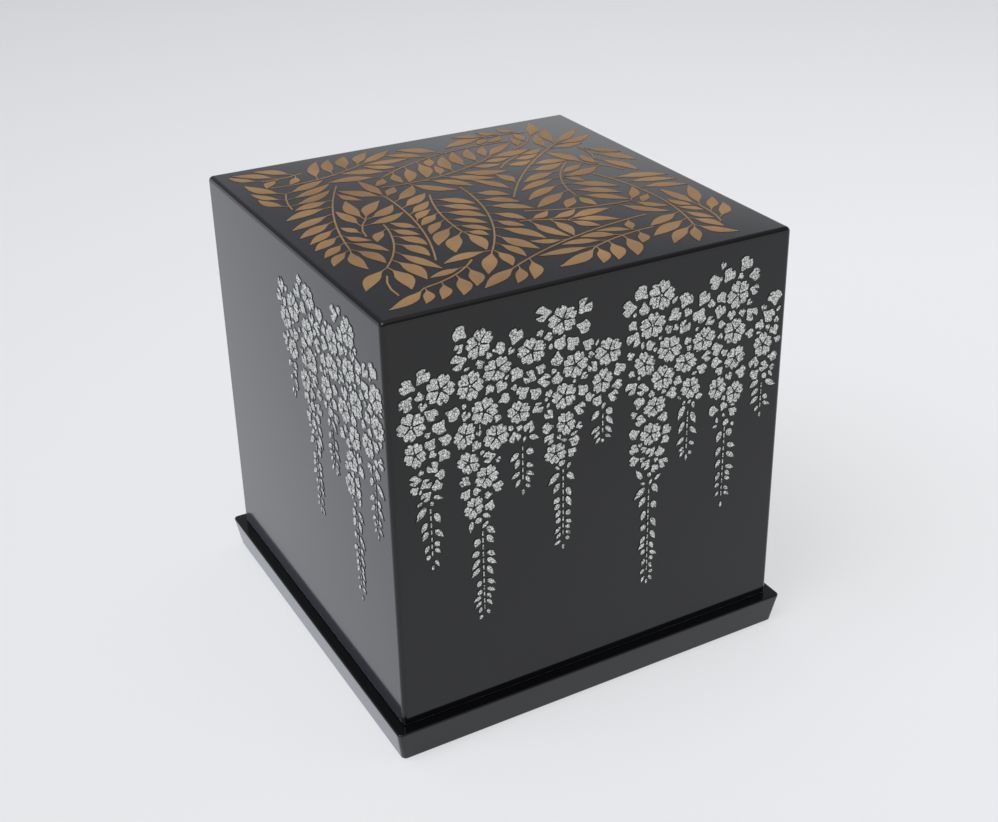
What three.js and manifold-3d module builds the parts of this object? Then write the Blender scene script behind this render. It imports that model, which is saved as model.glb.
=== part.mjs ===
// Square decorative box in black lacquer over wood: a full-depth cover drops over an inner box
// that stands on a plinth, and lifts straight off it.
// Lengths are millimetres and +Z is up. The photographed broad face is the front, towards -Y,
// and the origin is the middle of the plinth's underside.

import * as THREE from 'three';
import { mergeVertices } from 'three/addons/utils/BufferGeometryUtils.js';
import Module from 'manifold-3d';

// Cover
const coverWidth = 150; // outside, along X
const coverDepth = 150; // outside, along Y
const coverHeight = 146.8; // from its lower rim to its top
const coverWall = 6; // thickness of the four side boards
const topThickness = 6; // top panel, where it lies on the side boards
const topField = 1.5; // the panel's raised underside, which drops between the side boards
const arrisRadius = 1.8; // rounding of the upright and upper edges
const rimRadius = 0.8; // rounding of the rim's outer edge

// Plinth
const plinthThickness = 12;
const plinthOverhang = 3.9; // past the cover on every side, at the plinth's top
const plinthTaper = 2; // how far each side leans in towards its foot
const plinthCornerRadius = 1.8; // upright corners, seen from above
const plinthEdgeRadius = 0.7; // upper and lower edges

// Inner box
const slideClearance = 0.6; // between the cover's boards and the inner walls
const innerWall = 5;
const headroom = 12; // from the inner walls' lip to the cover's ceiling
const housingDepth = 2.5; // how deep the inner walls stand in the plinth's groove
const floorThickness = 4;
const lipRadius = 1.2; // rounding of the inner walls' upper edges
const leastCorner = 0.4; // upright corners where a rounded edge has drawn them in

// Joinery
const glueLine = 0.1; // round a board that drops between others or into the plinth's groove
const tongueThickness = 1.2; // loose tongue across each mitre
const tongueClearance = 0.3; // round a loose tongue in its slot
const slotMargin = 0.9; // wood left between a slot and the board's faces
const slotStop = 8; // how far a slot stops short of the edge that shows
const cutOvershoot = 1; // how far a cutting solid runs past the face it opens

// Facets
const arcSteps = 4; // to a quarter turn, an even number

// Levels
const plinthTop = plinthThickness;
const coverTop = plinthTop + coverHeight;
const boardsTop = coverTop - topThickness;
const ceiling = boardsTop - topField;
const lip = ceiling - headroom;
const grooveFloor = plinthTop - housingDepth;

// Plans
const innerWidth = coverWidth - 2 * (coverWall + slideClearance);
const innerDepth = coverDepth - 2 * (coverWall + slideClearance);
const fieldWidth = coverWidth - 2 * (coverWall + glueLine);
const fieldDepth = coverDepth - 2 * (coverWall + glueLine);
const roomWidth = innerWidth - 2 * innerWall;
const roomDepth = innerDepth - 2 * innerWall;

const coverLacquer = { color: 0x0a0a0b, roughness: 0.14, metalness: 0 };
const plinthLacquer = { color: 0x08090a, roughness: 0.06, metalness: 0 };
const insideLacquer = { color: 0x0c0b0b, roughness: 0.22, metalness: 0 };
const bareWood = { color: 0xc8a878, roughness: 0.75, metalness: 0 };

const wasm = await Module();
wasm.setup();

const box = new THREE.Group();

function addPiece(name, geometry, look) {
  const piece = new THREE.Mesh(geometry, new THREE.MeshStandardMaterial(look));
  piece.name = name;
  box.add(piece);
  return piece;
}

// A closed geometry as a solid that can be cut.
function solidFrom(geometry) {
  const bare = new THREE.BufferGeometry();
  bare.setAttribute('position', geometry.getAttribute('position').clone());
  bare.setIndex(geometry.getIndex());
  const merged = mergeVertices(bare);
  return new wasm.Manifold(new wasm.Mesh({
    numProp: 3,
    vertProperties: new Float32Array(merged.getAttribute('position').array),
    triVerts: new Uint32Array(merged.getIndex().array),
  }));
}

function geometryFrom(solid) {
  const mesh = solid.getMesh();
  const geometry = new THREE.BufferGeometry();
  geometry.setAttribute('position', new THREE.BufferAttribute(mesh.vertProperties, 3));
  geometry.setIndex(new THREE.BufferAttribute(mesh.triVerts, 1));
  const faceted = geometry.toNonIndexed();
  faceted.computeVertexNormals();
  return faceted;
}

// A closed skin through plan outlines of equal point counts, stacked from the lowest level up.
function stack(levels) {
  const rings = levels.map(({ z, outline }) => {
    const upright = THREE.ShapeUtils.area(outline) > 0 ? outline : [...outline].reverse();
    return upright.map((point) => new THREE.Vector3(point.x, point.y, z));
  });
  const count = rings[0].length;
  const triangles = [];
  for (let level = 0; level + 1 < rings.length; level += 1) {
    for (let i = 0; i < count; i += 1) {
      const next = (i + 1) % count;
      const [a, b] = [rings[level][i], rings[level][next]];
      const [c, d] = [rings[level + 1][next], rings[level + 1][i]];
      triangles.push(a, b, c, a, c, d);
    }
  }
  const [bottom, top] = [rings[0], rings[rings.length - 1]];
  for (const [i, j, k] of THREE.ShapeUtils.triangulateShape(bottom, [])) {
    triangles.push(bottom[i], bottom[k], bottom[j]);
  }
  for (const [i, j, k] of THREE.ShapeUtils.triangulateShape(top, [])) {
    triangles.push(top[i], top[j], top[k]);
  }
  const geometry = new THREE.BufferGeometry().setFromPoints(triangles);
  geometry.computeVertexNormals();
  return geometry;
}

// Points along an arc, ends included.
function arc(centre, radius, from, to, steps) {
  return Array.from({ length: steps + 1 }, (_, i) => {
    const angle = from + ((to - from) * i) / steps;
    const reach = new THREE.Vector2(Math.cos(angle), Math.sin(angle)).multiplyScalar(radius);
    return reach.add(centre);
  });
}

// The points of an open section, with those between its ends rounded off.
function roundOff(section, radius) {
  const rounded = [section[0]];
  for (let i = 1; i + 1 < section.length; i += 1) {
    const point = section[i];
    const back = section[i - 1].clone().sub(point).normalize();
    const on = section[i + 1].clone().sub(point).normalize();
    const half = Math.acos(back.dot(on)) / 2;
    const toCentre = back.clone().add(on).setLength(radius / Math.sin(half));
    const angleFrom = (way) => way.setLength(radius / Math.tan(half)).sub(toCentre).angle();
    const [start, end] = [angleFrom(back), angleFrom(on)];
    const turn = Math.atan2(Math.sin(end - start), Math.cos(end - start));
    rounded.push(...arc(toCentre.add(point), radius, start, start + turn, arcSteps));
  }
  rounded.push(section[section.length - 1]);
  return rounded;
}

// A rectangle about the origin with round corners.
function roundRectangle(width, depth, radius) {
  const [x, y] = [width / 2 - radius, depth / 2 - radius];
  const quarter = Math.PI / 2;
  return [[x, y], [-x, y], [-x, -y], [x, -y]].flatMap(([cornerX, cornerY], i) => arc(
    new THREE.Vector2(cornerX, cornerY), radius, i * quarter, (i + 1) * quarter, arcSteps,
  ));
}

function block(width, depth, from, to) {
  const geometry = new THREE.BoxGeometry(width, depth, to - from);
  geometry.translate(0, 0, (from + to) / 2);
  return solidFrom(geometry);
}

// The four sides of a mitred frame. Each turns a place on its board, measured along the board and
// outwards from the middle of the box, into x and y.
const sides = {
  front: { span: 'width', place: (along, out) => new THREE.Vector2(along, -out) },
  right: { span: 'depth', place: (along, out) => new THREE.Vector2(out, along) },
  back: { span: 'width', place: (along, out) => new THREE.Vector2(-along, out) },
  left: { span: 'depth', place: (along, out) => new THREE.Vector2(-out, -along) },
};

// Plan of one mitred board. easeOut and easeIn draw its outer and inner faces back where an edge
// is rounded; the mitres stay on the frame's diagonals.
function boardOutline(frame, side, easeOut, easeIn) {
  const spansWidth = side.span === 'width';
  const halfSpan = (spansWidth ? frame.width : frame.depth) / 2;
  const outer = (spansWidth ? frame.depth : frame.width) / 2;
  const inner = frame.wall - easeIn;
  const eighth = Math.PI / 4;
  const middle = new THREE.Vector2(halfSpan - frame.cornerRadius, outer - frame.cornerRadius);
  const corner = arc(middle, frame.cornerRadius - easeOut, eighth, 2 * eighth, arcSteps / 2);
  const half = [new THREE.Vector2(halfSpan - inner, outer - inner), ...corner];
  const otherHalf = [...half].reverse().map((point) => new THREE.Vector2(-point.x, point.y));
  return [...half, ...otherHalf].map((point) => side.place(point.x, point.y));
}

// The key across one of a frame's mitres: its slot, or the loose tongue, which is drawn in all round
// by its clearance.
function mitreKey(frame, [cornerX, cornerY], drawnIn) {
  const halfThickness = tongueThickness / 2 + tongueClearance;
  const halfReach = (frame.wall / 2 - slotMargin) * Math.SQRT2 - halfThickness;
  const { from, to } = frame.slot;
  const key = new THREE.BoxGeometry(
    2 * (halfReach - drawnIn),
    2 * (halfThickness - drawnIn),
    to - from - 2 * drawnIn,
  );
  key.rotateZ(-cornerX * cornerY * (Math.PI / 4));
  key.translate(
    cornerX * (frame.width - frame.wall) / 2,
    cornerY * (frame.depth - frame.wall) / 2,
    (from + to) / 2,
  );
  return key;
}

const corners = {
  front_left: [-1, -1],
  front_right: [1, -1],
  back_left: [-1, 1],
  back_right: [1, 1],
};

// Four mitred boards with a loose tongue hidden in each corner.
function addMitredFrame(frame, look) {
  for (const [sideName, side] of Object.entries(sides)) {
    let board = solidFrom(stack(frame.levels.map(({ z, easeOut, easeIn }) => (
      { z, outline: boardOutline(frame, side, easeOut, easeIn) }
    ))));
    for (const corner of Object.values(corners)) {
      board = board.subtract(solidFrom(mitreKey(frame, corner, 0)));
    }
    addPiece(frame.boardName(sideName), geometryFrom(board), look);
  }
  for (const [cornerName, corner] of Object.entries(corners)) {
    addPiece(frame.tongueName(cornerName), mitreKey(frame, corner, tongueClearance), bareWood);
  }
}

// Levels of a quarter-round edge that eases a face back by its radius.
function roundedEdge(z, radius, direction) {
  return Array.from({ length: arcSteps + 1 }, (_, i) => {
    const angle = (Math.PI / 2) * (i / arcSteps);
    return { z: z + direction * radius * (1 - Math.cos(angle)), ease: radius * (1 - Math.sin(angle)) };
  });
}

function addPlinth() {
  const halfTop = plinthOverhang + coverWidth / 2;
  const section = roundOff([
    new THREE.Vector2(halfTop - plinthTaper - coverWall, 0),
    new THREE.Vector2(halfTop - plinthTaper, 0),
    new THREE.Vector2(halfTop, plinthTop),
    new THREE.Vector2(halfTop - coverWall, plinthTop),
  ], plinthEdgeRadius).slice(1, -1);
  const levels = section.map((point) => {
    const drawnIn = halfTop - point.x;
    const width = coverWidth + 2 * (plinthOverhang - drawnIn);
    const depth = coverDepth + 2 * (plinthOverhang - drawnIn);
    return { z: point.y, outline: roundRectangle(width, depth, plinthCornerRadius) };
  });
  const grooveTop = plinthTop + cutOvershoot;
  const groove = block(innerWidth + 2 * glueLine, innerDepth + 2 * glueLine, grooveFloor, grooveTop)
    .subtract(block(roomWidth - 2 * glueLine, roomDepth - 2 * glueLine, 0, grooveTop + cutOvershoot));
  const board = solidFrom(stack(levels)).subtract(groove);
  addPiece('plinth_board', geometryFrom(board), plinthLacquer);
}

function addInnerBox() {
  const lipLevels = roundedEdge(lip, lipRadius, -1).reverse();
  addMitredFrame({
    width: innerWidth,
    depth: innerDepth,
    wall: innerWall,
    cornerRadius: lipRadius + leastCorner,
    levels: [
      { z: grooveFloor, easeOut: 0, easeIn: 0 },
      ...lipLevels.map(({ z, ease }) => ({ z, easeOut: ease, easeIn: ease })),
    ],
    slot: { from: grooveFloor, to: lip - slotStop },
    boardName: (side) => `inner_${side}_wall`,
    tongueName: (corner) => `inner_tongue_${corner}`,
  }, insideLacquer);

  const width = roomWidth - 2 * glueLine;
  const depth = roomDepth - 2 * glueLine;
  const floor = new THREE.BoxGeometry(width, depth, floorThickness);
  floor.translate(0, 0, plinthTop + floorThickness / 2);
  addPiece('inner_floor_board', floor, insideLacquer);
}

function addCover() {
  const rimLevels = roundedEdge(plinthTop, rimRadius, 1);
  addMitredFrame({
    width: coverWidth,
    depth: coverDepth,
    wall: coverWall,
    cornerRadius: arrisRadius,
    levels: [
      ...rimLevels.map(({ z, ease }) => ({ z, easeOut: ease, easeIn: 0 })),
      { z: boardsTop, easeOut: 0, easeIn: 0 },
    ],
    slot: { from: plinthTop + slotStop, to: boardsTop },
    boardName: (side) => `cover_${side}_board`,
    tongueName: (corner) => `cover_tongue_${corner}`,
  }, coverLacquer);

  const field = roundRectangle(fieldWidth, fieldDepth, leastCorner);
  const edge = roundedEdge(coverTop, arrisRadius, -1).reverse();
  const panel = (ease) => roundRectangle(
    coverWidth - 2 * ease,
    coverDepth - 2 * ease,
    Math.max(arrisRadius - ease, leastCorner),
  );
  addPiece('cover_top_panel', stack([
    { z: ceiling, outline: field },
    { z: boardsTop, outline: field },
    { z: boardsTop, outline: panel(0) },
    ...edge.map(({ z, ease }) => ({ z, outline: panel(ease) })),
  ]), coverLacquer);
}

addPlinth();
addInnerBox();
addCover();

export default box;
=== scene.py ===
# Square lacquered box: a full-depth cover over an inner box on a plinth, with gold bamboo leaves
# on the top and strands of weeping cherry in crackled eggshell on the sides.

import math
import random

import bmesh
import bpy
import numpy as np
from mathutils import Matrix, Vector


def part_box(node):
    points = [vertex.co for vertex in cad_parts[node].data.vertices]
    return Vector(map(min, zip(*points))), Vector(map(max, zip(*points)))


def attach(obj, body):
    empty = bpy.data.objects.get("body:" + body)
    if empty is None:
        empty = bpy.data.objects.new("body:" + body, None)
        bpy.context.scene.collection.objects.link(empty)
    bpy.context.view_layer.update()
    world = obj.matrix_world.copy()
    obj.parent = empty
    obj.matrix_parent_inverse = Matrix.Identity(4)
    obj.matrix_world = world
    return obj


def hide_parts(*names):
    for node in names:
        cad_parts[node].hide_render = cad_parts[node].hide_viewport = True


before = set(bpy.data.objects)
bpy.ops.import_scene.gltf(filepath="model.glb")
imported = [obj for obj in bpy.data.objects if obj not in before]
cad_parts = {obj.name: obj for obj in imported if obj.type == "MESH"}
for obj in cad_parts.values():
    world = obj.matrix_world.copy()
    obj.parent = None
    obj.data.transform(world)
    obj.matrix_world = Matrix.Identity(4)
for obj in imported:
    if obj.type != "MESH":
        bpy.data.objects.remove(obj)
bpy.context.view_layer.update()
mm = 0.001


# Helpers for modelling by hand: a primitive at its place, then edit mode on what is chosen by place

def deselectAll():
    if bpy.context.object and bpy.context.object.mode != "OBJECT":
        bpy.ops.object.mode_set(mode="OBJECT")
    bpy.ops.object.select_all(action="DESELECT")


def addBlock(name, low, high):
    deselectAll()
    bpy.ops.mesh.primitive_cube_add(size=1, location=(low + high) / 2, scale=high - low)
    bpy.ops.object.transform_apply(location=True, rotation=True, scale=True)
    piece = bpy.context.object
    piece.name = piece.data.name = name
    return piece


def choose(kind, test):  # picks vertices, edges or faces of the piece in edit mode
    bpy.ops.mesh.select_mode(type=kind)
    bpy.ops.mesh.select_all(action="DESELECT")
    mesh = bpy.context.edit_object.data
    work = bmesh.from_edit_mesh(mesh)
    for item in {"VERT": work.verts, "EDGE": work.edges, "FACE": work.faces}[kind]:
        if test(item):
            item.select_set(True)
    bmesh.update_edit_mesh(mesh)


def facing(direction, level=None, nearness=0.05 * mm):  # faces that point one way, at one height if given
    def test(face):
        onLevel = level is None or abs(face.calc_center_median().z - level) < nearness
        return onLevel and face.normal.dot(Vector(direction)) > 0.99
    return test


def edgesBetween(low, high, nearness=0.05 * mm):  # edges whose two ends lie inside a box
    def test(edge):
        return all(
            low[i] - nearness < vertex.co[i] < high[i] + nearness for vertex in edge.verts for i in range(3)
        )
    return test


def liesAt(edge, height, nearness=0.1 * mm):  # whether both ends of an edge are at one height
    return all(abs(vertex.co.z - height) < nearness for vertex in edge.verts)


def climb(edge):  # how much higher one end of an edge is than the other
    return abs(edge.verts[0].co.z - edge.verts[1].co.z)


def reach(vertex):  # how far out from the box's middle a vertex is
    return max(abs(vertex.co.x), abs(vertex.co.y))


def roundOff(radius, steps):
    bpy.ops.mesh.bevel(offset=radius, segments=steps, profile=0.5, affect="EDGES", clamp_overlap=True)


def smoothPolish(piece):  # round edges shade softly and the flat faces stay flat
    deselectAll()
    bpy.context.view_layer.objects.active = piece
    piece.select_set(True)
    bpy.ops.object.shade_smooth()
    evenOut = piece.modifiers.new("evenOut", "WEIGHTED_NORMAL")
    evenOut.mode = "FACE_AREA"
    evenOut.weight = 80
    bpy.ops.object.modifier_apply(modifier=evenOut.name)


# Materials

class Flow:
    # a value on its way through a material: sums, differences and products add their own Math nodes
    def __init__(self, tree, socket=None):
        self.tree = tree
        self.socket = socket

    def node(self, kind, settings=None, sockets=None, output=0):
        made = self.tree.nodes.new(kind)
        for name, value in (settings or {}).items():
            if name == "stops":
                while len(made.color_ramp.elements) < len(value):
                    made.color_ramp.elements.new(1)
                for stop, (place, colour) in zip(made.color_ramp.elements, value):
                    stop.position = place
                    stop.color = (*colour, 1)
            else:
                setattr(made, name, value)
        for name, value in (sockets or {}).items():
            if isinstance(value, Flow):
                self.tree.links.new(value.socket, made.inputs[name])
            else:
                made.inputs[name].default_value = value
        return Flow(self.tree, made.outputs[output] if made.outputs else None)

    def combine(self, operation, first, second):
        return self.node("ShaderNodeMath", {"operation": operation}, {0: first, 1: second})

    def __add__(self, other):
        return self.combine("ADD", self, other)

    __radd__ = __add__

    def __sub__(self, other):
        return self.combine("SUBTRACT", self, other)

    def __rsub__(self, other):
        return self.combine("SUBTRACT", other, self)

    def __mul__(self, other):
        return self.combine("MULTIPLY", self, other)

    __rmul__ = __mul__

    def rampFrom(self, low, high):  # 0 below low, 1 above high, straight between
        return self.node("ShaderNodeMapRange", {"clamp": True}, {0: self, 1: low, 2: high, 3: 0.0, 4: 1.0})

    def mix(self, share, first, second):  # from the first colour to the second
        sockets = {"Factor": share, 6: first, 7: second}
        return self.node("ShaderNodeMix", {"data_type": "RGBA"}, sockets, "Result")


def startMaterial(name):
    made = bpy.data.materials.new(name)
    made.use_nodes = True
    made.node_tree.nodes.clear()
    flow = Flow(made.node_tree)
    place = flow.node("ShaderNodeTexCoord", output="Object")
    return made, flow, place


def endMaterial(made, flow, varying, fixed):
    shader = flow.node("ShaderNodeBsdfPrincipled", sockets={**fixed, **varying})
    flow.node("ShaderNodeOutputMaterial", sockets={"Surface": shader})
    return made


def noise(flow, place, size, detail=2.0, roughness=0.5):  # size is one bump's width in metres
    return flow.node(
        "ShaderNodeTexNoise",
        sockets={"Vector": place, "Scale": 1 / size, "Detail": detail, "Roughness": roughness},
    )


def bump(flow, height, depth):
    return flow.node("ShaderNodeBump", sockets={"Height": height, "Distance": depth, "Strength": 1.0})


def lacquer(name, look):
    made, flow, place = startMaterial(name)
    haze = noise(flow, place, look["hazeSize"], 3.0)
    swirl = noise(flow, place, look["swirlSize"], 4.0, 0.6)
    change = look["roughChange"]
    rough = look["rough"] + (haze - 0.5) * change + (swirl - 0.5) * change * look["swirlShare"]
    wave = noise(flow, place, look["waveSize"], 1.0)
    colour = flow.node("ShaderNodeValToRGB", {"stops": look["colours"]}, {"Fac": haze})
    return endMaterial(
        made,
        flow,
        {"Base Color": colour, "Roughness": rough, "Normal": bump(flow, wave, look["waveDepth"])},
        {
            "IOR": look["ior"],
            "Sheen Weight": look["sheen"],
            "Sheen Roughness": look["sheenRough"],
            "Sheen Tint": (*look["sheenTint"], 1),
        },
    )


coverLook = {
    # where in the haze each colour stands, and the colour
    "colours": [(0.25, (0.0012, 0.0012, 0.0014)), (0.8, (0.0024, 0.0024, 0.0027))],
    "rough": 0.11,
    "roughChange": 0.04,
    "hazeSize": 45 * mm,
    "swirlSize": 6 * mm,  # traces of polishing
    "swirlShare": 0.5,
    "waveSize": 30 * mm,  # the slight unevenness of lacquer on wood
    "waveDepth": 0.02 * mm,
    "ior": 1.47,
    "sheen": 0.50,  # the bluish bloom of a polished surface, seen where it is looked along
    "sheenRough": 0.3,
    "sheenTint": (0.78, 0.84, 1.0),
}
plinthLook = {
    **coverLook,
    "colours": [(0.25, (0.0014, 0.0014, 0.0016)), (0.8, (0.0024, 0.0024, 0.0026))],
    "rough": 0.07,
    "roughChange": 0.03,
    "ior": 1.48,
    "sheen": 0.45,
}
insideLook = {
    **coverLook,
    "colours": [(0.25, (0.006, 0.0055, 0.0055)), (0.8, (0.010, 0.009, 0.009))],
    "rough": 0.24,
    "roughChange": 0.08,
    "sheen": 0.15,
}

coverLacquer = lacquer("coverLacquer", coverLook)
plinthLacquer = lacquer("plinthLacquer", plinthLook)
insideLacquer = lacquer("insideLacquer", insideLook)


def finishPiece(piece, body, replaced=(), finish=None):
    if finish:
        piece.data.materials.append(finish)
    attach(piece, body)
    if replaced:
        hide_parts(*replaced)


# Cover: its five boards and their tongues under one seamless skin of lacquer

coverSides = ("front", "back", "left", "right")
cornerNames = ("front_left", "front_right", "back_left", "back_right")
cover = {
    "wall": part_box("cover_left_board")[1].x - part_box("cover_left_board")[0].x,
    "arris": 1.8 * mm,  # radius of the upright and upper edges
    "arrisSteps": 8,
    "rim": 0.8 * mm,
    "rimSteps": 4,
    "insideFillet": 1.2 * mm,
    "filletSteps": 4,
    "shortestSide": 100 * mm,  # a shorter edge belongs to a rounding
}
coverLow = Vector((*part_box("cover_top_panel")[0][:2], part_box("cover_left_board")[0].z))
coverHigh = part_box("cover_top_panel")[1]
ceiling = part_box("cover_top_panel")[0].z


def makeCover():
    piece = addBlock("cover_shell", coverLow, coverHigh)
    bpy.ops.object.mode_set(mode="EDIT")
    choose("FACE", facing((0, 0, -1)))
    bpy.ops.mesh.inset(thickness=cover["wall"])
    bpy.ops.mesh.extrude_region_move(TRANSFORM_OT_translate={"value": (0, 0, ceiling - coverLow.z)})
    hollowLow = coverLow + Vector((cover["wall"], cover["wall"], 0))
    hollowHigh = coverHigh - Vector((cover["wall"], cover["wall"], 0))
    hollowHigh.z = ceiling
    inHollow = edgesBetween(hollowLow, hollowHigh)

    def insideEdge(edge):
        return inHollow(edge) and not liesAt(edge, coverLow.z)

    def outsideEdge(edge):
        isLong = edge.calc_length() > cover["shortestSide"]
        return isLong and not inHollow(edge) and not liesAt(edge, coverLow.z)

    def rimEdge(edge):  # round the rim's flat underside
        slopes = [face.normal.z for face in edge.link_faces]
        return liesAt(edge, coverLow.z, 0.01 * mm) and min(slopes) < -0.9 and max(slopes) > -0.5

    choose("EDGE", insideEdge)
    roundOff(cover["insideFillet"], cover["filletSteps"])
    choose("EDGE", outsideEdge)
    roundOff(cover["arris"], cover["arrisSteps"])
    choose("EDGE", rimEdge)
    roundOff(cover["rim"], cover["rimSteps"])
    bpy.ops.object.mode_set(mode="OBJECT")
    smoothPolish(piece)
    replaced = ["cover_top_panel"] + [f"cover_{side}_board" for side in coverSides]
    replaced += [f"cover_tongue_{corner}" for corner in cornerNames]
    finishPiece(piece, "cover", replaced, coverLacquer)


makeCover()
print("cover shell made")


# Plinth: a board that leans in towards its foot

plinth = {
    "overhang": 3.9 * mm,
    "lean": 2.0 * mm,
    "corner": 1.8 * mm,
    "cornerSteps": 6,
    "edge": 0.7 * mm,
    "edgeSteps": 4,
}
plinthLow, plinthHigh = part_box("plinth_board")
plinthHigh = Vector((coverHigh.x + plinth["overhang"], coverHigh.y + plinth["overhang"], plinthHigh.z))
plinthLow = Vector((coverLow.x - plinth["overhang"], coverLow.y - plinth["overhang"], plinthLow.z))


def makePlinth():
    piece = addBlock("plinth", plinthLow, plinthHigh)
    bpy.ops.object.mode_set(mode="EDIT")
    choose("FACE", facing((0, 0, -1)))
    width = plinthHigh.x - plinthLow.x
    foot = (width - 2 * plinth["lean"]) / width
    bpy.ops.transform.resize(value=(foot, foot, 1))

    def levelEdge(edge):  # round the upper and the lower face
        return climb(edge) < 0.01 * mm and max(abs(face.normal.z) for face in edge.link_faces) > 0.9

    choose("EDGE", lambda edge: climb(edge) > 5 * mm)
    roundOff(plinth["corner"], plinth["cornerSteps"])
    choose("EDGE", levelEdge)
    roundOff(plinth["edge"], plinth["edgeSteps"])
    bpy.ops.object.mode_set(mode="OBJECT")
    smoothPolish(piece)
    finishPiece(piece, "base", ["plinth_board"], plinthLacquer)


makePlinth()
print("plinth made")


# Inner box: four walls and a floor under one skin of lacquer, standing in the plinth

inner = {
    "wall": 5 * mm,
    "lip": 1.2 * mm,
    "lipSteps": 5,
    "fillet": 1.5 * mm,
    "filletSteps": 4,
    "corner": 0.6 * mm,
    "cornerSteps": 3,
}


def makeInnerBox():
    low = Vector((
        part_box("inner_left_wall")[0].x,
        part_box("inner_front_wall")[0].y,
        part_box("inner_left_wall")[0].z,
    ))
    high = Vector((
        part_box("inner_right_wall")[1].x,
        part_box("inner_back_wall")[1].y,
        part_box("inner_left_wall")[1].z,
    ))
    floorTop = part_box("inner_floor_board")[1].z
    piece = addBlock("inner_box", low, high)
    bpy.ops.object.mode_set(mode="EDIT")
    choose("FACE", facing((0, 0, 1)))
    bpy.ops.mesh.inset(thickness=inner["wall"])
    bpy.ops.mesh.extrude_region_move(TRANSFORM_OT_translate={"value": (0, 0, floorTop - high.z)})

    def roomEdge(edge):
        inside = all(reach(vertex) < high.x - 1 * mm for vertex in edge.verts)
        return inside and not liesAt(edge, high.z, 0.01 * mm)

    def outerCorner(edge):
        return climb(edge) > 50 * mm and all(reach(vertex) > high.x - 0.1 * mm for vertex in edge.verts)

    def lipEdge(edge):
        slopes = [face.normal.z for face in edge.link_faces]
        return liesAt(edge, high.z, 0.01 * mm) and max(slopes) > 0.9 and min(slopes) < 0.5

    choose("EDGE", roomEdge)
    roundOff(inner["fillet"], inner["filletSteps"])
    choose("EDGE", outerCorner)
    roundOff(inner["corner"], inner["cornerSteps"])
    choose("EDGE", lipEdge)
    roundOff(inner["lip"], inner["lipSteps"])
    bpy.ops.object.mode_set(mode="OBJECT")
    smoothPolish(piece)
    replaced = [f"inner_{side}_wall" for side in coverSides] + ["inner_floor_board"]
    replaced += [f"inner_tongue_{corner}" for corner in cornerNames]
    finishPiece(piece, "base", replaced, insideLacquer)


makeInnerBox()
print("inner box made")


# Ornament: small modelled pieces, copied over a face wherever its ground is still free

class Ground:
    # the part of one face that is already covered, kept as a grid of small square cells
    def __init__(self, low, high, cell=0.15 * mm):
        self.low = np.array(low)
        self.cell = cell
        self.taken = np.zeros(np.ceil((np.array(high) - self.low) / cell).astype(int), bool)

    def cellsIn(self, outline):  # the window of cells round an outline, and those inside it
        first = np.floor((outline.min(axis=0) - self.low) / self.cell).astype(int)
        last = np.ceil((outline.max(axis=0) - self.low) / self.cell).astype(int) + 1
        if (first < 0).any() or (last > self.taken.shape).any():
            return None, None
        x = (self.low[0] + self.cell * np.arange(first[0], last[0]))[:, None]
        y = (self.low[1] + self.cell * np.arange(first[1], last[1]))[None, :]
        inside = np.zeros((x.size, y.size), bool)
        for (x0, y0), (x1, y1) in zip(outline, np.roll(outline, -1, axis=0)):
            if y0 != y1:
                inside ^= ((y0 > y) != (y1 > y)) & (x < (x1 - x0) * (y - y0) / (y1 - y0) + x0)
        return (slice(first[0], last[0]), slice(first[1], last[1])), inside

    def isFree(self, outline, gap):  # nothing is covered in an outline grown by the gap
        edge = np.roll(outline, -1, axis=0) - np.roll(outline, 1, axis=0)
        outward = np.stack((edge[:, 1], -edge[:, 0]), axis=1)
        outward /= np.maximum(np.linalg.norm(outward, axis=1, keepdims=True), 1e-9)
        grown = outline + outward * gap
        corners = np.floor((grown - self.low) / self.cell).astype(int)
        if (corners < 0).any() or (corners >= self.taken.shape).any() or self.taken[tuple(corners.T)].any():
            return False
        window, inside = self.cellsIn(grown)
        return window is not None and not (self.taken[window] & inside).any()

    def cover(self, outline):
        window, inside = self.cellsIn(outline)
        if window is not None:
            self.taken[window] |= inside


class Motif:
    # one modelled piece, its outline seen from above (anticlockwise) and the share of the gap to
    # its neighbours that each point of the outline keeps
    def __init__(self, piece, outline, room=None):
        self.piece = piece
        self.outline = np.array(outline)
        self.room = np.array([room or [1.0] * len(outline)]).T

    def placedOutline(self, matrix):
        flat = np.array([list(row)[:2] for row in matrix][:2])
        return self.outline @ flat.T + np.array((matrix[0][3], matrix[1][3]))


def turned(x, y, angle, length=1.0, width=1.0):  # a place on a face for a motif that points along +Y
    return (
        Matrix.Translation((x, y, 0))
        @ Matrix.Rotation(math.radians(angle), 4, "Z")
        @ Matrix.Diagonal((width, length, 1, 1))
    )


def layIf(ground, copies, motif, matrix, gap):  # lays one copy where its ground is free
    outline = motif.placedOutline(matrix)
    if not ground.isFree(outline, gap * motif.room):
        return False
    ground.cover(outline)
    copies.append((motif, matrix))
    return True


def gather(name, copies, face):  # one piece out of every placed copy, on its face of the cover
    deselectAll()
    for motif, matrix in copies:
        twin = motif.piece.copy()
        twin.data = motif.piece.data.copy()
        twin.data.transform(face @ matrix)
        bpy.context.collection.objects.link(twin)
        twin.select_set(True)
        bpy.context.view_layer.objects.active = twin
    bpy.ops.object.join()
    joined = bpy.context.object
    joined.name = joined.data.name = name
    return joined


def discard(motifs):
    for motif in motifs:
        bpy.data.objects.remove(motif.piece)


def faceMatrix(along, up, origin):  # from a face's own across, up and out to the frame
    out = Vector(along).cross(Vector(up))
    return Matrix.Translation(origin) @ Matrix((along, up, out)).transposed().to_4x4()


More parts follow.
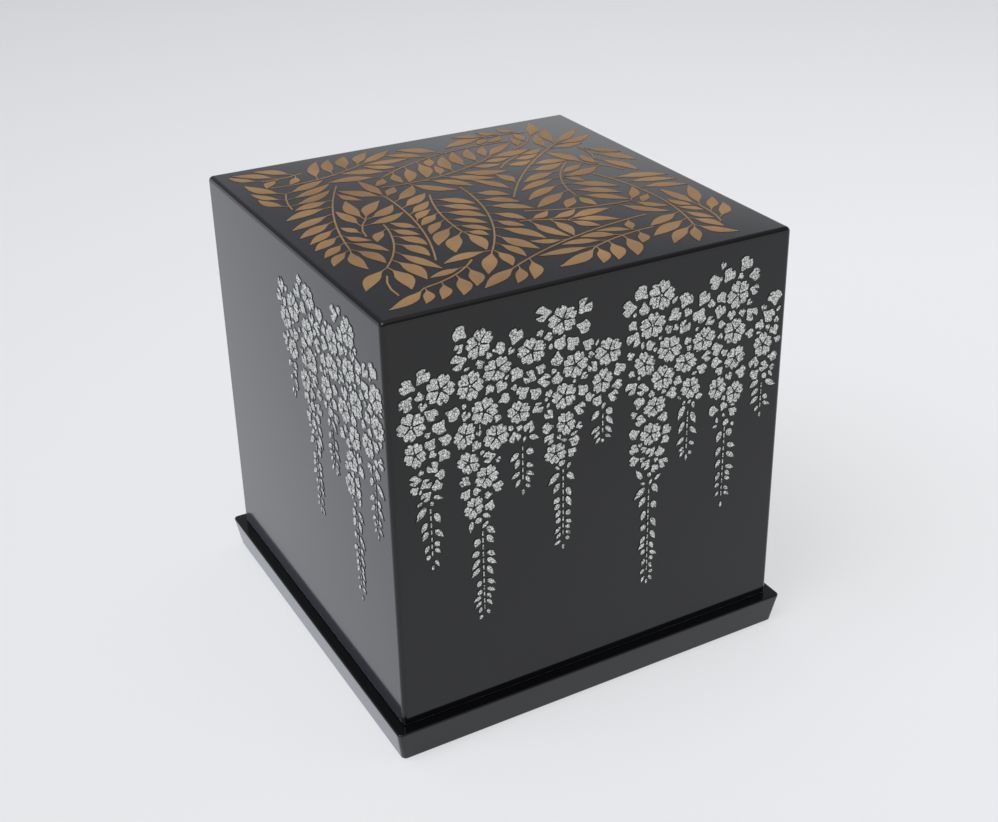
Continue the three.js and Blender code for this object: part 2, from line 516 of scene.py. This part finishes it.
def goldMaterial(name, look):
    made, flow, place = startMaterial(name)
    grain = noise(flow, place, look["grainSize"], 2.0, 0.7)
    cloud = noise(flow, place, look["cloudSize"], 2.0)
    shade = (grain - 0.5) * look["grainChange"] + (cloud - 0.5) * look["cloudChange"] + 0.5
    colour = flow.node("ShaderNodeValToRGB", {"stops": look["colours"]}, {"Fac": shade})
    rough = look["rough"] + (grain - 0.5) * look["roughChange"]
    return endMaterial(
        made,
        flow,
        {"Base Color": colour, "Roughness": rough, "Normal": bump(flow, grain, look["grainDepth"])},
        {"Metallic": look["metallic"]},
    )


goldLook = {
    "colours": [(0.15, (0.34, 0.19, 0.08)), (0.5, (0.53, 0.305, 0.13)), (0.85, (0.72, 0.44, 0.18))],
    "rough": 0.5,
    "roughChange": 0.2,
    "metallic": 0.7,
    "grainSize": 0.25 * mm,  # of the gold powder
    "grainChange": 0.5,
    "grainDepth": 0.02 * mm,
    "cloudSize": 22 * mm,  # slow changes of colour over the top
    "cloudChange": 0.8,
}
# the leaves' sides in a dark brown gold: painted shade, standing in for the shadow and dark outline along
# each leaf's edge
goldEdgePaintedShadeLook = {
    **goldLook,
    "colours": [(0.2, (0.15, 0.08, 0.036)), (0.8, (0.24, 0.13, 0.056))],
    "metallic": 0.4,
    "rough": 0.6,
}
gold = goldMaterial("goldPowder", goldLook)
goldEdgePaintedShade = goldMaterial("goldEdgePaintedShade", goldEdgePaintedShadeLook)


# Top: sprays of bamboo grass in matt gold

bambooLeaf = {
    "length": 20 * mm,
    "widths": (0.09, 0.10, 0.45, 0.86, 1.00, 0.92, 0.70, 0.38, 0.05),  # of its half width, base to tip
    "halfWidth": 2.4 * mm,
    "stalk": 0.8 * mm,  # reaches this far back, into the stem
    "room": (0, 0, 0.6, 1, 1, 1, 1, 0.8, 0.3),  # shares of the gap to its neighbours, base to tip
    "crown": 0.06 * mm,  # how much higher its midrib is than its edges
    "thickness": 0.28 * mm,
    "sunk": 0.12 * mm,  # how deep it sits in the lacquer
    # how far the middle of each kind stands aside, as a share of the length
    "bends": {"leafLeft": 0.07, "leafStraight": 0.015, "leafRight": -0.07},
}


def makeLeaf(name, bend):
    look = bambooLeaf
    sections = len(look["widths"]) - 1
    deselectAll()
    bpy.ops.mesh.primitive_grid_add(x_subdivisions=2, y_subdivisions=sections, size=1, location=(0, 0, 0))
    piece = bpy.context.object
    piece.name = piece.data.name = name
    bpy.ops.object.mode_set(mode="EDIT")
    bpy.ops.mesh.select_all(action="SELECT")
    bpy.ops.transform.translate(value=(0, 0.5, 0))
    bpy.ops.transform.resize(value=(2 * look["halfWidth"], look["length"], 1), center_override=(0, 0, 0))
    choose("VERT", lambda vertex: abs(vertex.co.x) < 0.01 * mm and vertex.co.y > 2 * mm)
    bpy.ops.transform.translate(value=(0, 0, look["crown"]))
    left, right = [], []
    for i, width in enumerate(look["widths"]):
        y = look["length"] * i / sections
        aside = 4 * bend * look["length"] * (i / sections) * (1 - i / sections)
        choose("VERT", lambda vertex: abs(vertex.co.y - y) < 0.1 * mm)
        bpy.ops.transform.resize(value=(width, 1, 1), center_override=(0, 0, 0))
        bpy.ops.transform.translate(value=(aside, 0, 0))
        left.append((aside - width * look["halfWidth"], y))
        right.append((aside + width * look["halfWidth"], y))
    choose("VERT", lambda vertex: vertex.co.y < 0.1 * mm)
    bpy.ops.transform.translate(value=(0, -look["stalk"], 0))
    bpy.ops.object.mode_set(mode="OBJECT")
    thicken = piece.modifiers.new("thicken", "SOLIDIFY")
    thicken.thickness = look["thickness"]
    thicken.offset = -1
    # the sides of each leaf take the dark brown gold: painted shade along its rim
    thicken.material_offset_rim = 1
    piece.data.materials.append(gold)
    piece.data.materials.append(goldEdgePaintedShade)
    bpy.ops.object.modifier_apply(modifier=thicken.name)
    piece.data.transform(Matrix.Translation((0, 0, look["thickness"] - look["sunk"] - look["crown"])))
    return Motif(piece, right + left[::-1], [*look["room"], *look["room"][::-1]])


topPattern = {
    "margin": 5 * mm,
    "gap": 0.75 * mm,
    "stemWidth": 0.62 * mm,
    "stemGround": 0.80 * mm,  # the width that a stem keeps free of leaves
    "stemThickness": 0.26 * mm,
    "stemStep": 5 * mm,
    # stems strewn over the top: their length, how many places are tried and the free ground asked for
    "stems": [(62, 400, 12.5), (50, 1200, 12), (38, 2000, 11), (26, 2500, 10), (16, 2500, 8.5)],
    "turn": (22, 48),
    "groundSteps": (2 * mm, 0.4 * mm),  # along a stem, to test its ground and to cover it
    "leafEvery": 6.9 * mm,
    "firstPair": 0.9,  # of that distance, from a stem's tip to its first pair of leaves
    "clear": 1.0 * mm,  # from the middle of a stem to where a leaf's own ground begins
    "leafSizes": (1.0, 0.92, 0.84, 0.76, 0.68, 0.6, 0.5),  # tried from the largest down
    "leafWidths": (0.88, 1.15),
    "swings": (0, 7, -7, 13, -13, 19),  # degrees that a leaf turns aside to find its place
    "tipHeadings": (3, -35, 38),  # of the three leaves at a stem's tip, in degrees from its own
    "tipSizes": (0.85, 1.0),
    "lean": (40, 54),  # degrees between a leaf and its stem
    "sideSizes": (0.85, 1.05),
    "smoothUnder": 35,  # degrees between faces that shade as one
    "seed": 35,
}


def toward(angle, distance=1.0):  # a step on the top, its angle counted from +X towards +Y
    return Vector((math.cos(math.radians(angle)), math.sin(math.radians(angle)))) * distance


class Stem:
    # an arc on the top: its start, its heading there, its length and how far it turns
    def __init__(self, start, heading, length, turn):
        self.start = Vector(start)
        self.heading = heading
        self.length = length
        self.turn = turn
        radius = length / math.radians(abs(turn))
        self.centre = self.start + toward(heading + math.copysign(90, turn), radius)

    def at(self, way):  # the point this far along, and the heading there
        angle = self.turn * way / self.length
        spot = self.centre + Matrix.Rotation(math.radians(angle), 2) @ (self.start - self.centre)
        return spot, self.heading + angle

    def bands(self, step):  # small squares along it, this far apart
        half = topPattern["stemGround"] / 2
        for index in range(int(self.length / step)):
            spot, heading = self.at(index * step)
            along, across = toward(heading, half), toward(heading + 90, half)
            yield np.array([
                spot - along - across,
                spot + along - across,
                spot + along + across,
                spot - along + across,
            ])

    def build(self, name):  # a small upright face swept round the middle of the arc
        high = topPattern["stemThickness"]
        deselectAll()
        bpy.ops.mesh.primitive_plane_add(size=1, location=(0, 0, 0))
        piece = bpy.context.object
        piece.name = piece.data.name = name
        piece.data.transform(
            Matrix.Translation((*self.start, high / 2 - bambooLeaf["sunk"]))
            @ Matrix.Rotation(math.radians(self.heading), 4, "Z")
            @ Matrix.Rotation(math.radians(90), 4, "Y")
            @ Matrix.Diagonal((high, topPattern["stemWidth"], 1, 1))
        )
        steps = max(3, round(self.length / topPattern["stemStep"]))
        middle = (*self.centre, 0)
        bpy.ops.object.mode_set(mode="EDIT")
        bpy.ops.mesh.select_all(action="SELECT")
        bpy.ops.mesh.spin(steps=steps, angle=math.radians(-self.turn), center=middle, axis=(0, 0, 1))
        bpy.ops.mesh.select_all(action="SELECT")
        bpy.ops.mesh.normals_make_consistent(inside=False)
        bpy.ops.object.mode_set(mode="OBJECT")
        piece.data.materials.append(gold)
        return piece


def growStems(ground, chance):  # arcs strewn over the top, the longest first, with room for their leaves
    half = coverHigh.x - topPattern["margin"]
    testStep, coverStep = topPattern["groundSteps"]
    stems = []
    for length, tries, room in topPattern["stems"]:
        for attempt in range(tries):
            start = (chance.uniform(-half, half), chance.uniform(-half, half))
            turn = chance.choice((1, -1)) * chance.uniform(*topPattern["turn"])
            stem = Stem(start, chance.uniform(0, 360), length * mm, turn)
            if all(ground.isFree(band, room * mm) for band in stem.bands(testStep)):
                for band in stem.bands(coverStep):
                    ground.cover(band)
                stems.append(stem)
    return stems


def layTop(ground, leaves):
    chance = random.Random(topPattern["seed"])
    copies = []

    def layLeaf(spot, heading, size):  # the largest leaf that still fits here
        order = chance.sample(range(3), 3)
        for shrink in topPattern["leafSizes"]:
            wide = (0.5 + 0.5 * shrink) * chance.uniform(*topPattern["leafWidths"])
            for swing in topPattern["swings"]:
                for kind in order:
                    matrix = turned(*spot, heading - 90 + swing, size * shrink, wide)
                    if layIf(ground, copies, leaves[kind], matrix, topPattern["gap"]):
                        return True
        return False

    stems = growStems(ground, chance)
    for stem in stems:
        end, heading = stem.at(stem.length)
        for aside in topPattern["tipHeadings"]:
            foot = end + toward(heading + aside, topPattern["clear"])
            layLeaf(foot, heading + aside, chance.uniform(*topPattern["tipSizes"]))
    for pair in range(int(max(stem.length for stem in stems) / topPattern["leafEvery"])):
        for stem in stems:
            way = stem.length - (pair + topPattern["firstPair"]) * topPattern["leafEvery"]
            if way > 1 * mm:
                spot, heading = stem.at(way)
                for side in (1, -1):
                    lean = heading + side * chance.uniform(*topPattern["lean"])
                    foot = spot + toward(lean, topPattern["clear"])
                    layLeaf(foot, lean, chance.uniform(*topPattern["sideSizes"]))
    print("stems", len(stems), "leaves", len(copies), "share covered", round(float(ground.taken.mean()), 3))
    return copies, stems


def makeTop():
    leaves = [makeLeaf(name, bend) for name, bend in bambooLeaf["bends"].items()]
    half = coverHigh.x - topPattern["margin"]
    copies, stems = layTop(Ground((-half, -half), (half, half)), leaves)
    face = faceMatrix((1, 0, 0), (0, 1, 0), (0, 0, coverHigh.z))
    built = [stem.build(f"stem{index}") for index, stem in enumerate(stems)]
    piece = gather("gold_leafwork", copies, face)
    deselectAll()
    for stem in built:
        stem.data.transform(face)
        stem.select_set(True)
    piece.select_set(True)
    bpy.context.view_layer.objects.active = piece
    bpy.ops.object.join()
    bpy.ops.object.shade_smooth_by_angle(angle=math.radians(topPattern["smoothUnder"]))
    discard(leaves)
    finishPiece(piece, "cover")


makeTop()
print("gold leaves made")


# Sides: strands of weeping cherry in crackled eggshell

shellLook = {
    "fragment": 0.85 * mm,
    "wobbleSize": 1.3 * mm,  # bends the joints a little
    "wobble": 0.45 * mm,
    "crack": (0.035, 0.10),  # from a fragment's edge inwards: where all is joint, where all is shell
    "colours": [(0.0, (0.70, 0.71, 0.68)), (0.5, (0.84, 0.85, 0.82)), (1.0, (0.93, 0.94, 0.91))],
    "joint": (0.07, 0.07, 0.07),
    "rough": 0.45,
    "jointRough": 0.3,  # more in the joints
    "depth": 0.05 * mm,
    "ior": 1.45,
}


def eggshellMaterial(name, look):
    made, flow, place = startMaterial(name)
    bend = {"Vector": place, "Scale": 1 / look["wobbleSize"], "Detail": 1.0}
    wobble = flow.node("ShaderNodeTexNoise", None, bend, "Color")
    stray = flow.node("ShaderNodeVectorMath", {"operation": "SCALE"}, {0: wobble, "Scale": look["wobble"]})
    spot = flow.node("ShaderNodeVectorMath", {"operation": "ADD"}, {0: place, 1: stray})
    cells = {"Vector": spot, "Scale": 1 / look["fragment"]}
    edge = flow.node("ShaderNodeTexVoronoi", {"feature": "DISTANCE_TO_EDGE"}, cells, "Distance")
    cell = flow.node("ShaderNodeTexVoronoi", {"feature": "F1"}, cells, "Color")
    tone = flow.node("ShaderNodeSeparateColor", sockets={0: cell}, output="Red")
    shell = flow.node("ShaderNodeValToRGB", {"stops": look["colours"]}, {"Fac": tone})
    whole = edge.rampFrom(*look["crack"])
    mixed = flow.mix(whole, (*look["joint"], 1), shell)
    rough = look["rough"] + (1 - whole) * look["jointRough"]
    return endMaterial(
        made,
        flow,
        {"Base Color": mixed, "Roughness": rough, "Normal": bump(flow, whole, look["depth"])},
        {"IOR": look["ior"]},
    )


eggshell = eggshellMaterial("eggshell", shellLook)
shoulderLook = {**coverLook, "rough": 0.38, "roughChange": 0.1}
shoulderLacquer = lacquer("shoulderLacquer", shoulderLook)

shellPiece = {
    "relief": 0.16 * mm,
    "sunk": 0.06 * mm,  # how deep it sits in the lacquer
    "shoulder": 0.17 * mm,  # width of the black slope round the shell
    "dome": 0.04 * mm,
}


def startMotif(name, radius, vertices):  # a flat disc that stands on the origin
    deselectAll()
    middle = (0, radius, 0)
    bpy.ops.mesh.primitive_circle_add(vertices=vertices, radius=radius, fill_type="NGON", location=middle)
    bpy.ops.object.transform_apply(location=True, rotation=False, scale=False)
    piece = bpy.context.object
    piece.name = piece.data.name = name
    bpy.ops.object.mode_set(mode="EDIT")
    return piece


def raiseMotif(piece):  # gives the flat outline its height, its black shoulder and its shell on top
    bpy.ops.object.mode_set(mode="OBJECT")
    face = piece.data.polygons[0]
    outline = [piece.data.vertices[index].co.xy.copy() for index in face.vertices]
    piece.data.materials.append(shoulderLacquer)
    piece.data.materials.append(eggshell)
    bpy.ops.object.mode_set(mode="EDIT")
    bpy.ops.mesh.select_all(action="SELECT")
    height = shellPiece["relief"] + shellPiece["sunk"]
    bpy.ops.transform.translate(value=(0, 0, -shellPiece["sunk"]))
    bpy.ops.mesh.extrude_region_move(TRANSFORM_OT_translate={"value": (0, 0, height)})
    choose("FACE", facing((0, 0, 1), shellPiece["relief"], 0.01 * mm))
    bpy.ops.mesh.inset(thickness=shellPiece["shoulder"], depth=shellPiece["dome"])
    piece.active_material_index = 1
    bpy.ops.object.material_slot_assign()
    bpy.ops.mesh.select_all(action="SELECT")
    bpy.ops.mesh.normals_make_consistent(inside=False)
    bpy.ops.object.mode_set(mode="OBJECT")
    return Motif(piece, outline)


motifShape = {
    "petalCorners": 20,
    "budCorners": 12,
    # how high its waist and its foot reach and where its tip begins, for a radius of 1
    "waist": 0.95,
    "foot": 0.45,
    "tip": 1.99,
    "footWidth": 0.72,  # of the width that its waist has
}


def makePetal(name, radius, waist, notch, skew):  # heart-shaped: slim foot below, a notch in its broad end
    piece = startMotif(name, radius, motifShape["petalCorners"])
    choose("VERT", lambda vertex: vertex.co.y < motifShape["waist"] * radius)
    bpy.ops.transform.resize(value=(waist, 1, 1), center_override=(0, 0, 0))
    choose("VERT", lambda vertex: vertex.co.y < motifShape["foot"] * radius)
    bpy.ops.transform.resize(value=(motifShape["footWidth"], 1, 1), center_override=(0, 0, 0))
    choose("VERT", lambda vertex: vertex.co.y > motifShape["tip"] * radius)
    bpy.ops.transform.translate(value=(skew * radius, -notch * radius, 0))
    return raiseMotif(piece)


def makeBud(name, radius, slimness, point):  # an oval, drawn out to a point
    piece = startMotif(name, radius, motifShape["budCorners"])
    bpy.ops.mesh.select_all(action="SELECT")
    bpy.ops.transform.resize(value=(slimness, 1, 1), center_override=(0, 0, 0))
    choose("VERT", lambda vertex: vertex.co.y > motifShape["tip"] * radius)
    bpy.ops.transform.translate(value=(0, point * radius, 0))
    return raiseMotif(piece)


def makeTwig(name, length, width):  # one short oblong piece of a twig
    piece = startMotif(name, length / 2, 4)
    middle = (0, length / 2, 0)
    square = math.sqrt(2)
    bpy.ops.mesh.select_all(action="SELECT")
    bpy.ops.transform.rotate(value=math.radians(45), orient_axis="Z", center_override=middle)
    bpy.ops.transform.resize(value=(width / length * square, square, 1), center_override=middle)
    return raiseMotif(piece)


sidePattern = {
    "gap": 0.16 * mm,
    "margin": 1.2 * mm,
    "topMargin": 6 * mm,
    "bloomShare": 0.60,  # of a strand's length that carries blossoms
    "narrowing": 0.55,  # how much of its head's width is lost where its tail begins
    "crest": (0.5, 3),  # its share of that width at its very top, and how fast it widens
    "blossomEvery": 10 * mm,
    "blossomRow": 3,
    "firstBlossom": 0.4,  # of the distance between two rows
    "blossomSize": (0.92, 0.70),  # at a strand's top and where its tail begins
    "foreshortened": (0.78, 1.0),  # how much narrower a blossom looks when it turns aside
    "petalFoot": 0.75 * mm,  # from a blossom's middle
    "pollenSize": 0.55,
    "pollenDrop": 0.55 * mm,  # from a blossom's middle to the foot of its pollen
    # single petals fill the rest: their size and how many are tried on each millimetre
    "fill": [(1.1, 9), (0.95, 9), (0.8, 8), (0.65, 7), (0.5, 5)],
    "fillLoss": 0.3,  # how much of that size is lost where the tail begins
    "fillWidths": (0.85, 1.1),
    "budsTried": 9,  # on each millimetre, between the petals
    "budReach": 1.1,  # a little past them
    "budSizes": (0.5, 1.0),
    "twigEvery": 2.6 * mm,
    "twigStart": 2 * mm,
    # pairs of buds down the tail: their size at its start and how much of that is lost at its end,
    # how far apart the pairs are at size 1, the degrees that they spread and the millimetres that
    # they may hang lower, how far they stand aside at its end and how much further at its start
    "tailSize": 1.25,
    "tailLoss": 0.7,
    "tailEvery": 2.9 * mm,
    "tailSpread": (20, 65),
    "tailSway": 1.2,
    "tailAside": (0.9 * mm, 0.7 * mm),
    "lastBud": 0.5,
    "lastDrop": 1.2 * mm,
    # each strand: how far along the side, where it starts below the top, how far it reaches down
    # and how wide its head is
    "front": [
        (13, 22, 86, 16), (31, 10, 112, 18), (46, 17, 68, 15), (61, 9, 94, 18), (76, 24, 58, 13),
        (95, 9, 120, 18), (110, 19, 74, 15), (126, 9, 98, 18), (141, 27, 66, 14),
    ],
    "left": [(74, 18, 54, 13), (90, 9, 92, 17), (106, 17, 70, 14), (122, 9, 110, 17), (139, 20, 76, 15)],
    "right": [(11, 18, 70, 14), (27, 9, 98, 17), (43, 18, 62, 14), (58, 9, 84, 17), (75, 18, 52, 13)],
    "back": [(104, 14, 62, 15), (121, 9, 92, 17), (139, 19, 74, 15)],
    "seed": 20,
}


def layStrand(ground, copies, motifs, chance, strand):
    look = sidePattern
    across, start, reach, head = (value * mm for value in strand)
    length = reach - start
    bloomEnd = length * look["bloomShare"]
    gap = look["gap"]
    crest, widening = look["crest"]

    def spot(way):  # somewhere in the strand at this share of its blossoming length
        spread = head / 2 * (1 - look["narrowing"] * way) * min(1, crest + widening * way)
        return across + chance.uniform(-spread, spread), -start - way * bloomEnd

    def layBlossom(x, y, size):  # five petals round their pollen, or none
        turn = chance.uniform(0, 72)
        squash = Matrix.Diagonal((chance.uniform(*look["foreshortened"]), 1, 1, 1))
        lean = Matrix.Rotation(chance.uniform(0, math.pi), 4, "Z")
        middle = Matrix.Translation((x, y, 0)) @ lean @ squash @ lean.inverted()
        out = turned(0, look["petalFoot"] * size, 0, size, size)
        kind = motifs["petals"][0]
        turns = [Matrix.Rotation(math.radians(turn + 72 * petal), 4, "Z") for petal in range(5)]
        places = [middle @ aside @ out for aside in turns]
        if all(ground.isFree(kind.placedOutline(matrix), gap) for matrix in places):
            for matrix in places:
                ground.cover(kind.placedOutline(matrix))
                copies.append((kind, matrix))
            foot = y - look["pollenDrop"]
            place = turned(x, foot, 0, look["pollenSize"], look["pollenSize"])
            layIf(ground, copies, motifs["pollen"], place, 0)

    def layBud(x, y, angle, size):
        kind = motifs["buds"][chance.randrange(0, len(motifs["buds"]))]
        layIf(ground, copies, kind, turned(x, y, angle, size, size), gap)

    first, last = look["blossomSize"]
    for index in range(int(bloomEnd / look["blossomEvery"]) * look["blossomRow"]):
        way = (index / look["blossomRow"] + look["firstBlossom"]) * look["blossomEvery"] / bloomEnd
        layBlossom(*spot(min(way, 1)), first + (last - first) * way)
    for size, tries in look["fill"]:
        for attempt in range(int(tries * bloomEnd / mm)):
            way = chance.random()
            small = size * (1 - look["fillLoss"] * way)
            x, y = spot(way)
            angle = chance.uniform(0, 360)
            wide = small * chance.uniform(*look["fillWidths"])
            layIf(ground, copies, chance.choice(motifs["petals"]), turned(x, y, angle, small, wide), gap)
    for attempt in range(int(look["budsTried"] * bloomEnd / mm)):
        x, y = spot(chance.random() * look["budReach"])
        layBud(x, y, chance.uniform(0, 360), chance.uniform(*look["budSizes"]))
    for index in range(int(length / look["twigEvery"])):  # the twig itself, where nothing lies over it
        y = -start - index * look["twigEvery"] - look["twigStart"]
        layIf(ground, copies, motifs["twig"], turned(across, y, 0), gap)
    hang = bloomEnd
    side = chance.choice((1, -1))
    near, further = look["tailAside"]
    while hang < length:
        way = (hang - bloomEnd) / (length - bloomEnd)
        size = look["tailSize"] - look["tailLoss"] * way
        for hand in (side, -side):
            x = across + hand * (near + further * (1 - way))
            y = -start - hang - chance.uniform(0, look["tailSway"]) * mm
            layBud(x, y, 180 + hand * chance.uniform(*look["tailSpread"]), size)
        hang += look["tailEvery"] * size
        side = -side
    layBud(across, -start - length - look["lastDrop"], 180, look["lastBud"])


def makeSides():
    motifs = {
        "petals": [
            makePetal("petalBroad", 2.75 * mm, 0.66, 0.42, 0.0),
            makePetal("petalSlim", 2.75 * mm, 0.58, 0.16, 0.1),
            makePetal("petalFolded", 2.8 * mm, 0.72, 0.95, -0.12),
        ],
        "pollen": makeBud("pollen", 0.95 * mm, 0.95, 0.0),
        "buds": [
            makeBud("budRound", 1.5 * mm, 0.86, 0.2),
            makeBud("budLong", 1.8 * mm, 0.62, 0.4),
            makeBud("youngLeaf", 2.2 * mm, 0.52, 0.5),
        ],
        "twig": makeTwig("twig", 2.0 * mm, 0.75 * mm),
    }
    faces = {
        "front": faceMatrix((1, 0, 0), (0, 0, 1), (coverLow.x, coverLow.y, coverHigh.z)),
        "right": faceMatrix((0, 1, 0), (0, 0, 1), (coverHigh.x, coverLow.y, coverHigh.z)),
        "back": faceMatrix((-1, 0, 0), (0, 0, 1), (coverHigh.x, coverHigh.y, coverHigh.z)),
        "left": faceMatrix((0, -1, 0), (0, 0, 1), (coverLow.x, coverHigh.y, coverHigh.z)),
    }
    width = coverHigh.x - coverLow.x
    for index, (side, face) in enumerate(faces.items()):
        chance = random.Random(sidePattern["seed"] + index)
        low = (sidePattern["margin"], coverLow.z - coverHigh.z)
        ground = Ground(low, (width - sidePattern["margin"], -sidePattern["topMargin"]))
        copies = []
        for strand in sidePattern[side]:
            layStrand(ground, copies, motifs, chance, strand)
        piece = gather(f"eggshell_{side}", copies, face)
        finishPiece(piece, "cover")
        print("strands on the", side, "with", len(copies), "pieces of shell")
    discard([*motifs["petals"], motifs["pollen"], *motifs["buds"], motifs["twig"]])


makeSides()
print("eggshell strands made")


# Floor, light and camera

studio = {
    "floorSize": 12.0,
    "floorDrop": 0.02 * mm,  # under the plinth
    "floorColour": (0.37, 0.373, 0.377),
    "floorRough": 0.9,
    "floorShine": 0.1,
    "floorGlow": (0.550, 0.553, 0.557),  # painted glow: the floor shines by itself though it is no lamp, which keeps the shadows faint
    # painted pool of light: the floor's glow is brightest round this point and fades away from it
    "floorBrightest": (0.22, -0.15, 0),
    "floorFade": (0.35, 1.5, 0.42),  # metres from there where the painted glow starts and ends fading, and how much of it is lost
    "sky": [  # degrees above the horizon straight behind the box, and the colour there
        (12, (1.0, 1.0, 1.0)),
        (13.5, (0.92, 0.92, 0.93)),
        (15, (0.52, 0.52, 0.53)),
        (16, (0.28, 0.28, 0.29)),
        (17, (0.20, 0.20, 0.21)),
        (20, (0.23, 0.23, 0.24)),
        (50, (0.29, 0.29, 0.30)),
        (66, (0.72, 0.72, 0.73)),
    ],
    "skyLean": 0.15,  # how much the bright band over the horizon rises to the right
    "sunStrength": 1.15,
    "sunColour": (0.93, 0.98, 1.09),
    "sunHeight": 55,
    "sunSide": -84,  # degrees round from the front, to the left
    "sunSpread": 42,
}


def makeFloor():
    deselectAll()
    middle = (0, 0, plinthLow.z - studio["floorDrop"])
    bpy.ops.mesh.primitive_plane_add(size=studio["floorSize"], location=middle)
    floor = bpy.context.object
    floor.name = "floor"
    made, flow, place = startMaterial("floorPaper")
    # painted glow on the floor: emission brightest round floorBrightest and dimmer further away
    start, end, loss = studio["floorFade"]
    centre = Vector(studio["floorBrightest"])
    away = flow.node("ShaderNodeVectorMath", {"operation": "DISTANCE"}, {0: place, 1: centre}, "Value")
    away = away.rampFrom(start, end)
    near = (*studio["floorGlow"], 1)
    far = (*(value * (1 - loss) for value in studio["floorGlow"]), 1)
    glow = flow.mix(away, near, far)
    fixed = {
        "Base Color": (*studio["floorColour"], 1),
        "Roughness": studio["floorRough"],
        "Specular IOR Level": studio["floorShine"],
        "Emission Strength": 1.0,
    }
    endMaterial(made, flow, {"Emission Color": glow}, fixed)
    floor.data.materials.append(made)


def makeSky():
    world = bpy.data.worlds.new("studioLight")
    bpy.context.scene.world = world
    world.use_nodes = True
    world.node_tree.nodes.clear()
    flow = Flow(world.node_tree)
    direction = flow.node("ShaderNodeTexCoord", output="Generated")
    rise = flow.node("ShaderNodeSeparateXYZ", sockets={0: direction}, output="Z")
    across = flow.node("ShaderNodeSeparateXYZ", sockets={0: direction}, output="X")
    stops = [(math.sin(math.radians(height)), colour) for height, colour in studio["sky"]]
    colour = flow.node("ShaderNodeValToRGB", {"stops": stops}, {"Fac": rise - across * studio["skyLean"]})
    light = flow.node("ShaderNodeBackground", sockets={"Color": colour, "Strength": 1.0})
    flow.node("ShaderNodeOutputWorld", sockets={"Surface": light})


def makeSun():
    deselectAll()
    bpy.ops.object.light_add(type="SUN", location=(-0.6, -0.8, 1.2))
    sun = bpy.context.object
    sun.name = "softKey"
    sun.data.energy = studio["sunStrength"]
    sun.data.color = studio["sunColour"]
    sun.data.angle = math.radians(studio["sunSpread"])
    sun.rotation_euler = (math.radians(90 - studio["sunHeight"]), 0, math.radians(studio["sunSide"]))


camera = {
    "place": Vector((-229.6, -434.7, 338.2)) * mm,
    "heading": 30.77,  # degrees from +Y towards +X
    "down": 26.62,
    "roll": -0.05,
    "lens": 53.8,
    "sensor": 36,
    "shift": (-0.0601, -0.0401),  # the photograph is cropped off its lens's middle
    "clip": (0.01, 50),
}


def makeCamera():
    deselectAll()
    bpy.ops.object.camera_add()
    made = bpy.context.object
    made.name = "photoCamera"
    made.data.sensor_width = camera["sensor"]
    made.data.lens = camera["lens"]
    made.data.shift_x, made.data.shift_y = camera["shift"]
    made.data.clip_start, made.data.clip_end = camera["clip"]
    turn = Matrix.Rotation(math.radians(-camera["heading"]), 4, "Z")
    tip = Matrix.Rotation(math.radians(90 - camera["down"]), 4, "X")
    roll = Matrix.Rotation(math.radians(camera["roll"]), 4, "Z")
    made.matrix_world = Matrix.Translation(camera["place"]) @ turn @ tip @ roll
    bpy.context.scene.camera = made


makeFloor()
makeSky()
makeSun()
makeCamera()
bpy.context.scene.view_settings.view_transform = "Standard"
bpy.context.scene.view_settings.look = "None"
print("floor, light and camera made")
